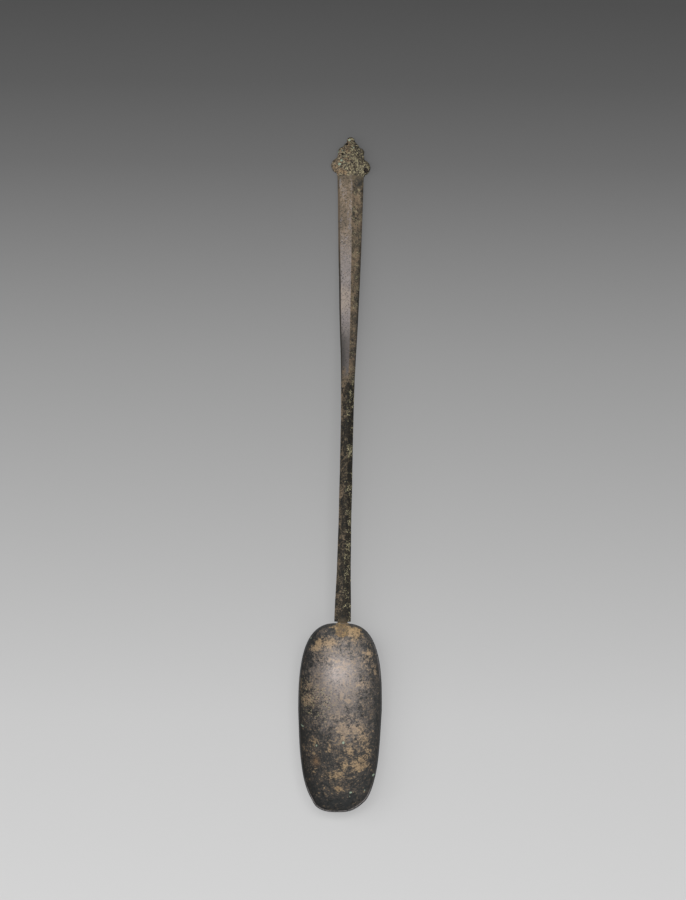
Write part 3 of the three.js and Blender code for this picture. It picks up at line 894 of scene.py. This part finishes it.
class SPOON_OT_solder(Operator):
    """Runs the solder in between the tongue and the bowl, and over the rim"""

    bl_idname = "spoon.solder"
    bl_label = "Solder"

    def execute(self, context):
        rows = solder_skin(sizes("spoon_tongue"), sizes("spoon_handle"), sizes("spoon_bowl"))
        points = rows.reshape(-1, 3)
        rise = layered_noise(points, 1.0 * MM, seed=61, layers=3).reshape(rows.shape[:2])
        rows = rows + 0.05 * MM * rise[..., None] * outward(rows)
        wander = lattice_noise(points * (0, 1, 1) + (0.01, 0, 0), 1.3 * MM, seed=67)
        rows[..., 0] += 0.25 * MM * wander.reshape(rows.shape[:2])
        piece = rings_to_mesh("spoon_solder", [rows])
        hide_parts("neck_solder")
        dress(piece, solder_finish())
        return {"FINISHED"}


def bowl_finish():
    """Dark patina with a warm grey metal film in its upper half, rubbed through to golden brown in mottled patches,
    with fine specks, scratches along the bowl, pits and a few green spots. The long middle of the floor is glossier and
    painted lighter as a sheen, the steep upper walls get fewer light specks as a painted shade, a light line along the
    rim is a painted highlight, and the tip has fewer brown specks."""
    c = sizes("spoon_colours")
    f = Finish("bowl_patina")
    inner, edge, wall = f.field("inner"), f.field("edge"), f.field("wall")
    sheen, pitted = f.field("sheen"), f.field("pitted")
    cloud = f.noise(7.0, 4.0, 0.6, shift=3.0)
    streak = f.noise(0.5, 2.0, 0.6, stretch=(1.0, 0.05, 1.0), shift=5.0)
    blotch = f.mottle(2.6, 11.0)
    speck = f.mottle(1.1, 17.0, fine=0.5)
    drift = cloud * 0.3 - 0.15
    # Painted shade: the wall field gives the steep upper walls less film here and fewer brown and rubbed specks below,
    # so they come out darker.
    film = f.ramp(blotch * 0.6 + speck * 0.4 + drift + sheen * 0.11 - wall * 0.05, 0.42, 0.6)
    tint = f.blend(f.ramp(speck, 0.36, 0.5), c.dark, c.patina)
    # Painted sheen: the sheen field lightens the film towards a light sheen colour, and below it thins the brown,
    # rubbed and dark specks and turns rubbed metal to a light painted colour.
    tint = f.blend(film * 0.9, tint, f.blend(sheen * (f.ramp(speck, 0.3, 0.62) * 0.5 + 0.42), c.film, c.painted_sheen))
    tip = f.ramp(f.y, -25.0, -33.0)
    brown = f.ramp(speck + sheen * 0.02 + drift * 0.5 - wall * 0.03 - tip * 0.07, 0.5, 0.64)
    tint = f.blend(brown * (0.8 - sheen * 0.4 - tip * 0.25), tint, f.blend(sheen, c.rubbed, c.gold))
    worn = f.field("rubbed") * (0.35 + 0.65 * inner)
    rubbed = f.ramp(blotch * 0.55 + speck * 0.45 + worn * 0.2 - wall * 0.02 + drift * 0.3, 0.52, 0.64)
    metal = f.blend(f.ramp(speck * 0.8 + cloud * 0.2, 0.42, 0.6), c.rubbed, c.gold)
    metal = f.blend(f.ramp(f.y, 20.0, 26.0) * 0.8, metal, c.ochre)
    # Painted sheen: rubbed metal under the sheen field turns to a light painted colour.
    metal = f.blend(sheen * 0.75, metal, c.painted_shine)
    tint = f.blend(rubbed * (0.92 - sheen * 0.42), tint, metal)
    tint = f.blend(f.ramp(speck, 0.45, 0.33) * (0.7 - sheen * 0.62), tint, c.dark)
    tint = f.blend(f.field("rust") * f.ramp(speck, 0.38, 0.5), tint, c.rust)
    holes = f.ramp(f.grains(0.7, 4.0), 0.34, 0.2) * f.ramp(pitted + speck * 0.5, 0.5, 0.8)
    tint = f.blend(holes * 0.9, tint, c.dark)
    dots = f.ramp(f.grains(0.9, 9.0), 0.3, 0.16) * f.ramp(pitted + cloud * 0.6 + speck, 0.9, 1.25)
    tint = f.blend(dots * 0.85, tint, c.cream)
    # Painted highlight: a light line along the rim's lip, strongest at the tip and towards the upper right, over an
    # edge darkened to patina.
    lip = f.ramp(edge, 0.8, 1.0) * f.ramp(inner, 0.35, 0.6) * f.ramp(speck, 0.4, 0.52)
    rim_highlight = f.ramp(f.x, 8.0, 12.0) * f.ramp(f.y, 8.0, 14.0) * 0.25 + tip * 0.55 + 0.05
    tint = f.blend(lip * rim_highlight, f.blend(f.ramp(edge, 0.5, 1.0) * 0.85, tint, c.patina), c.painted_haze)
    green = f.ramp(f.field("green") + speck * 0.5, 0.6, 0.85)
    tint = f.blend(green, tint, c.green)
    rough = 0.66 - sheen * 0.22 + (speck - 0.5) * 0.8 + (streak - 0.5) * 0.3 + edge * 0.2
    normal = f.bump(streak * 0.4 + speck * 0.6, 0.05)
    normal = f.bump(blotch - holes, 0.08, normal)
    return f.shade(tint, rough, sheen * (0.15 + film * 0.4), normal, gloss=1.45, gloss_tint=(1.0, 0.92, 0.86))


def handle_finish(s):
    """Dark patina with brown streaks along the stem and curly cream flecks on its right side, olive brown on the blade,
    warmer towards the finial, and a smooth violet-grey film with pinholes on the blade's left facet, painted light as a
    sheen, with a painted highlight near its middle and a painted fall-off to darker film towards the stem."""
    c = sizes("spoon_colours")
    f = Finish("handle_patina")
    across, run = f.field("across"), f.field("run")
    cloud = f.noise(5.0, 4.0, 0.6, shift=7.0)
    blotch = f.mottle(2.0, 2.0, (1, 0.45, 1))
    speck = f.mottle(0.9, 19.0, fine=0.5)
    blade = f.ramp(run, s.blade_start + 0.02, s.blade_start + s.ridge_run)
    top = f.ramp(run, 0.76, 0.9)
    tint = f.blend(f.ramp(speck, 0.44, 0.54), c.dark, f.blend(blade, c.umber, c.patina))
    brown = f.ramp(blotch * 0.6 + speck * 0.4 - across * 0.02 + blade * 0.12, 0.49, 0.62)
    tint = f.blend(brown * 0.85, tint, c.olive)
    warm = f.ramp(blotch * 0.5 + cloud * 0.2 + speck * 0.3 - across * 0.04 + blade * 0.065, 0.51, 0.62)
    tint = f.blend(warm * (0.6 + 0.4 * blade), tint, c.brown)
    taper = f.ramp(run, s.blade_start + 0.05, s.blade_start + 0.12)
    left = f.ramp(across - taper * 0.06, 0.1, 0.06) * f.ramp(across, -0.9, -0.84)
    speckled = f.blend(f.ramp(speck, 0.4, 0.55), c.olive, c.speckle)
    # The left facet's film carries a painted sheen: light colours, a painted highlight and a painted fall-off towards
    # the stem.
    film = left * f.ramp(run + speck * 0.02, s.blade_start + 0.055, s.blade_start + 0.075)
    lower = f.ramp(run + speck * 0.03, s.blade_start + 0.205, s.blade_start + 0.14)
    painted_facet_sheen = f.blend(f.ramp(speck * 0.5 + blotch * 0.5, 0.38, 0.6), c.painted_haze, c.painted_sheen)
    painted_facet_sheen = f.blend(f.ramp(speck, 0.52, 0.64) * 0.4, painted_facet_sheen, c.speckle)
    # Painted highlight: a light spot on the facet's film near its middle.
    painted_facet_sheen = f.blend(f.around(-1.5, 153.2, 5.0, 5.0, 0.9) * f.ramp(speck, 0.3, 0.6) * 0.8, painted_facet_sheen, c.painted_shine)
    # Painted fall-off of the sheen towards the stem: darker film, and patina on its left side.
    painted_facet_sheen = f.blend(lower * 0.7, painted_facet_sheen, c.film)
    painted_facet_sheen = f.blend(lower * f.ramp(across, -0.15, -0.75) * 0.5, painted_facet_sheen, c.patina)
    painted_facet_sheen = f.blend(f.ramp(speck, 0.46, 0.34) * 0.5, painted_facet_sheen, c.olive)
    tint = f.blend(film, tint, f.blend(top * f.ramp(blotch, 0.4, 0.5), painted_facet_sheen, speckled))
    tint = f.blend(f.around(-2.0, 184.0, 4.0, 4.0, 0.9) * film * 0.3, tint, c.film)
    pins = f.ramp(f.grains(0.6, 3.0), 0.28, 0.18) * f.ramp(cloud + speck * 0.3 - across * 0.1, 0.56, 0.72)
    tint = f.blend(pins * 0.9 * film, tint, c.dark)
    tint = f.blend(f.around(-0.3, 125.4, 1.1, 1.5) * f.ramp(speck, 0.4, 0.55) * 0.8, tint, c.brown)
    bevel = f.either(f.ramp(across, -0.8, -0.88), f.ramp(across, 0.8, 0.88) * 0.6) * blade
    tint = f.blend(bevel * (1.0 - top * 0.5) * 0.9, tint, c.dark)
    side = f.ramp(across + cloud * 0.8, 0.2, 0.6)
    flecks = f.curls(1.0, 0.035, 6.0) * side * f.ramp(f.noise(2.2, 2.0, 0.5, shift=31.0), 0.5, 0.58)
    flecks = f.either(flecks, f.ramp(f.grains(0.9, 23.0), 0.22, 0.1) * f.ramp(blotch + across * 0.05, 0.52, 0.6))
    flecks = flecks * (1.0 - film) * (1.0 - blade * 0.45)
    tint = f.blend(flecks, tint, c.cream)
    shade = f.around(4.3, 197.8, 1.6, 1.7) * f.ramp(speck, 0.66, 0.46) * 0.85
    shade = f.either(shade, f.around(3.4, 137.0, 2.4, 11.0, 0.5) * f.ramp(speck, 0.62, 0.42) * 0.5 * (1.0 - film))
    tint = f.blend(shade, tint, c.patina)
    crust = f.ramp(run + speck * 0.05, 1.0, 1.025)
    tint = f.blend(crust * 0.7, tint, c.olive)
    neck = f.ramp(run + speck * 0.03, 0.024, 0.012) * f.ramp(across * across + speck, 0.8, 0.5)
    tint = f.blend(neck * 0.8, tint, f.blend(f.ramp(speck, 0.45, 0.6), c.olive, c.rubbed))
    smooth = film * (1.0 - top * 0.85)
    rough = 0.8 - smooth * 0.4 + (speck - 0.5) * 0.4
    normal = f.bump(blotch * 0.5 + speck * 0.5 - pins * film, 0.09)
    return f.shade(tint, rough, smooth * 0.3, normal, gloss=1.28, gloss_tint=(1.0, 0.92, 0.82))


def finial_finish():
    """Granular olive and cream corrosion, browner on the left and dark in its hollows, with mint-green spots and
    rust in its eyes."""
    c = sizes("spoon_colours")
    f = Finish("finial_corrosion")
    relief, eye, brim = f.field("relief"), f.field("eye"), f.field("brim")
    patch = f.noise(2.6, 4.0, 0.6, shift=21.0)
    grains = f.mottle(0.5, 13.0, fine=0.45)
    hollow = f.ramp(patch * 0.4 + grains * 0.6 - relief * 0.01, 0.5, 0.38)
    tint = f.blend(f.ramp(grains, 0.4, 0.52), c.umber, c.olive)
    tint = f.blend(f.ramp(grains + relief * 0.01, 0.48, 0.64), tint, c.cream)
    left = f.ramp(patch - f.x * 0.035, 0.46, 0.6)
    tint = f.blend(left * f.ramp(grains, 0.42, 0.56) * 0.65, tint, f.blend(f.ramp(patch, 0.5, 0.6), c.speckle, c.rust))
    crumbs = f.ramp(f.grains(0.55, 5.0), 0.32, 0.16) * f.ramp(f.cells(0.8, 6.0), 0.3, 0.75)
    tint = f.blend(crumbs * 0.9, tint, f.blend(left, c.cream, c.speckle))
    gaps = f.ramp(f.grains(0.6, 8.0), 0.34, 0.18) * f.ramp(f.cells(0.9, 3.0), 0.35, 0.7)
    tint = f.blend(gaps * 0.9, tint, c.umber)
    tint = f.blend(hollow * 0.7, tint, c.patina)
    mint = f.either(f.around(-1.6, 205.6, 0.5, 0.5), f.around(-2.25, 204.1, 0.6, 0.6))
    mint = f.either(mint, f.around(-2.75, 209.2, 0.4, 0.4))
    mint = f.either(mint, f.around(-1.3, 209.4, 0.35, 0.35) * 0.8)
    mint = f.either(mint, f.around(1.1, 213.4, 0.45, 0.4))
    mint = f.either(mint, f.around(2.6, 210.3, 0.35, 0.35))
    tint = f.blend(f.ramp(mint * 0.5 + grains * 0.8, 0.66, 0.9) * 0.85, tint, c.green)
    tint = f.blend(f.ramp(eye, 0.1, 0.5), tint, f.blend(f.ramp(grains, 0.45, 0.7) * 0.6, c.dark, c.rust))
    tint = f.blend(brim * f.ramp(grains, 0.6, 0.45) * 0.85, tint, c.dark)
    return f.shade(tint, 0.9, 0.0, f.bump(grains, 0.16), gloss=1.3)


def solder_finish():
    """Dull golden-brown solder with finer, brighter specks, darker in places."""
    c = sizes("spoon_colours")
    f = Finish("neck_solder")
    blotch = f.mottle(2.0, 8.0)
    speck = f.mottle(0.9, 4.0, fine=0.5)
    tint = f.blend(f.ramp(blotch, 0.42, 0.58), c.olive, c.rubbed)
    tint = f.blend(f.ramp(speck, 0.46, 0.62) * 0.75, tint, c.ochre)
    return f.shade(tint, 0.7, 0.0, f.bump(blotch * 0.5 + speck * 0.5, 0.08), gloss=1.25)


# The backdrop's grey, a painted fall-off of light along the table: where, as a share of the way, and the grey there.
BACKDROP = ((0.0, 0.63), (0.2, 0.572), (0.38, 0.456), (0.6, 0.318), (0.82, 0.156), (0.91, 0.111), (1.0, 0.085))


def table_finish(s):
    """The table's grey, a painted fall-off of light from light grey beside the bowl to dark beyond the finial. Part of
    what the camera, metal and glass see of it is its own glow, which keeps the spoon's shadow soft."""
    f = Finish("table_top")
    ramp = f.node("ShaderNodeValToRGB", {}, {0: (f.y + 67.0) / 333.0})
    while len(ramp.color_ramp.elements) < len(BACKDROP):
        ramp.color_ramp.elements.new(0.5)
    for element, (place, grey) in zip(ramp.color_ramp.elements, BACKDROP):
        element.position = place
        element.color = (grey, grey, grey, 1.0)
    body = f.node("ShaderNodeBsdfDiffuse", {}, {0: ramp.outputs[0]})
    glow = f.node("ShaderNodeEmission", {}, {0: ramp.outputs[0]})
    path = f.node("ShaderNodeLightPath").outputs
    seen = f.either(Term(f, path["Is Camera Ray"]), Term(f, path["Is Glossy Ray"]))
    seen = f.either(seen, Term(f, path["Is Transmission Ray"]))
    mixed = f.node("ShaderNodeMixShader", {}, {0: seen * s.glow, 1: body.outputs[0], 2: glow.outputs[0]})
    f.node("ShaderNodeOutputMaterial", {}, {"Surface": mixed.outputs[0]})
    return f.material


def add_lamp(name, way, distance, wide, deep, watts):
    """A softbox that looks at the spoon's middle from a direction."""
    target = Vector((0.0, 60 * MM, 0.0))
    way = Vector(way).normalized()
    lamp = bpy.data.lights.new(name, "AREA")
    lamp.shape = "RECTANGLE"
    lamp.size = wide
    lamp.size_y = deep
    lamp.energy = watts
    holder = bpy.data.objects.new(name, lamp)
    holder.location = target + way * distance
    holder.rotation_euler = way.to_track_quat("Z", "Y").to_euler()
    bpy.context.scene.collection.objects.link(holder)


class SPOON_OT_stage(Operator):
    """Lays the table, hangs the softboxes and sets up the camera"""

    bl_idname = "spoon.stage"
    bl_label = "Stage"

    def execute(self, context):
        s = sizes("spoon_stage")
        scene = context.scene
        half = s.table / 2
        mesh = bpy.data.meshes.new("table_top")
        corners = [(-half, -half, 0), (half, -half, 0), (half, half, 0), (-half, half, 0)]
        mesh.from_pydata(corners, [], [(0, 1, 2, 3)])
        table = bpy.data.objects.new("table_top", mesh)
        scene.collection.objects.link(table)
        mesh.materials.append(table_finish(s))
        away = Vector((0.0, -math.cos(s.elevation), math.sin(s.elevation)))
        lens = bpy.data.cameras.new("camera")
        lens.lens = s.focal
        distance = s.framed * s.focal / lens.sensor_width
        lens.clip_end = 100.0
        camera = bpy.data.objects.new("camera", lens)
        camera.location = Vector((s.aim_x, s.aim_y, 0.0)) + away * distance
        turned = away.to_track_quat("Z", "Y") @ Quaternion((0.0, 0.0, 1.0), s.roll)
        camera.rotation_euler = turned.to_euler()
        scene.collection.objects.link(camera)
        scene.camera = camera
        add_lamp("overhead_box", (0.0, -0.22, 1.0), 1.3, 1.1, 0.5, 9.8)
        add_lamp("left_box", (-0.8, -0.2, 0.75), 1.4, 1.1, 1.1, 7.5)
        add_lamp("front_box", (0.1, -1.0, 0.7), 1.4, 1.1, 1.1, 7.0)
        world = bpy.data.worlds.new("studio")
        world.use_nodes = True
        world.node_tree.nodes["Background"].inputs[0].default_value = (0.11, 0.11, 0.11, 1.0)
        scene.world = world
        scene.view_settings.view_transform = "Standard"
        return {"FINISHED"}


class SPOON_PT_panel(Panel):
    """Lists the spoon's steps and sizes"""

    bl_idname = "SPOON_PT_panel"
    bl_label = "Bronze Spoon"
    bl_space_type = "VIEW_3D"
    bl_region_type = "UI"
    bl_category = "Spoon"

    def draw(self, context):
        for operator in OPERATORS:
            self.layout.operator(operator.bl_idname)
        for name, group in GROUPS.items():
            box = self.layout.box()
            for key in group.__annotations__:
                box.prop(getattr(context.scene, name), key)


GROUPS = {
    "spoon_bowl": BowlSizes,
    "spoon_handle": HandleSizes,
    "spoon_tongue": TongueSizes,
    "spoon_finial": FinialSizes,
    "spoon_colours": FinishColours,
    "spoon_stage": StageSizes,
}
OPERATORS = (SPOON_OT_bowl, SPOON_OT_handle, SPOON_OT_finial, SPOON_OT_solder, SPOON_OT_stage)


def register():
    for name, group in GROUPS.items():
        bpy.utils.register_class(group)
        setattr(bpy.types.Scene, name, PointerProperty(type=group))
    for operator in OPERATORS:
        bpy.utils.register_class(operator)
    bpy.utils.register_class(SPOON_PT_panel)


def unregister():
    bpy.utils.unregister_class(SPOON_PT_panel)
    for operator in reversed(OPERATORS):
        bpy.utils.unregister_class(operator)
    for name, group in reversed(GROUPS.items()):
        delattr(bpy.types.Scene, name)
        bpy.utils.unregister_class(group)


def main():
    register()
    bpy.ops.spoon.bowl()
    bpy.ops.spoon.handle()
    bpy.ops.spoon.finial()
    bpy.ops.spoon.solder()
    bpy.ops.spoon.stage()


if __name__ == "__main__":
    main()
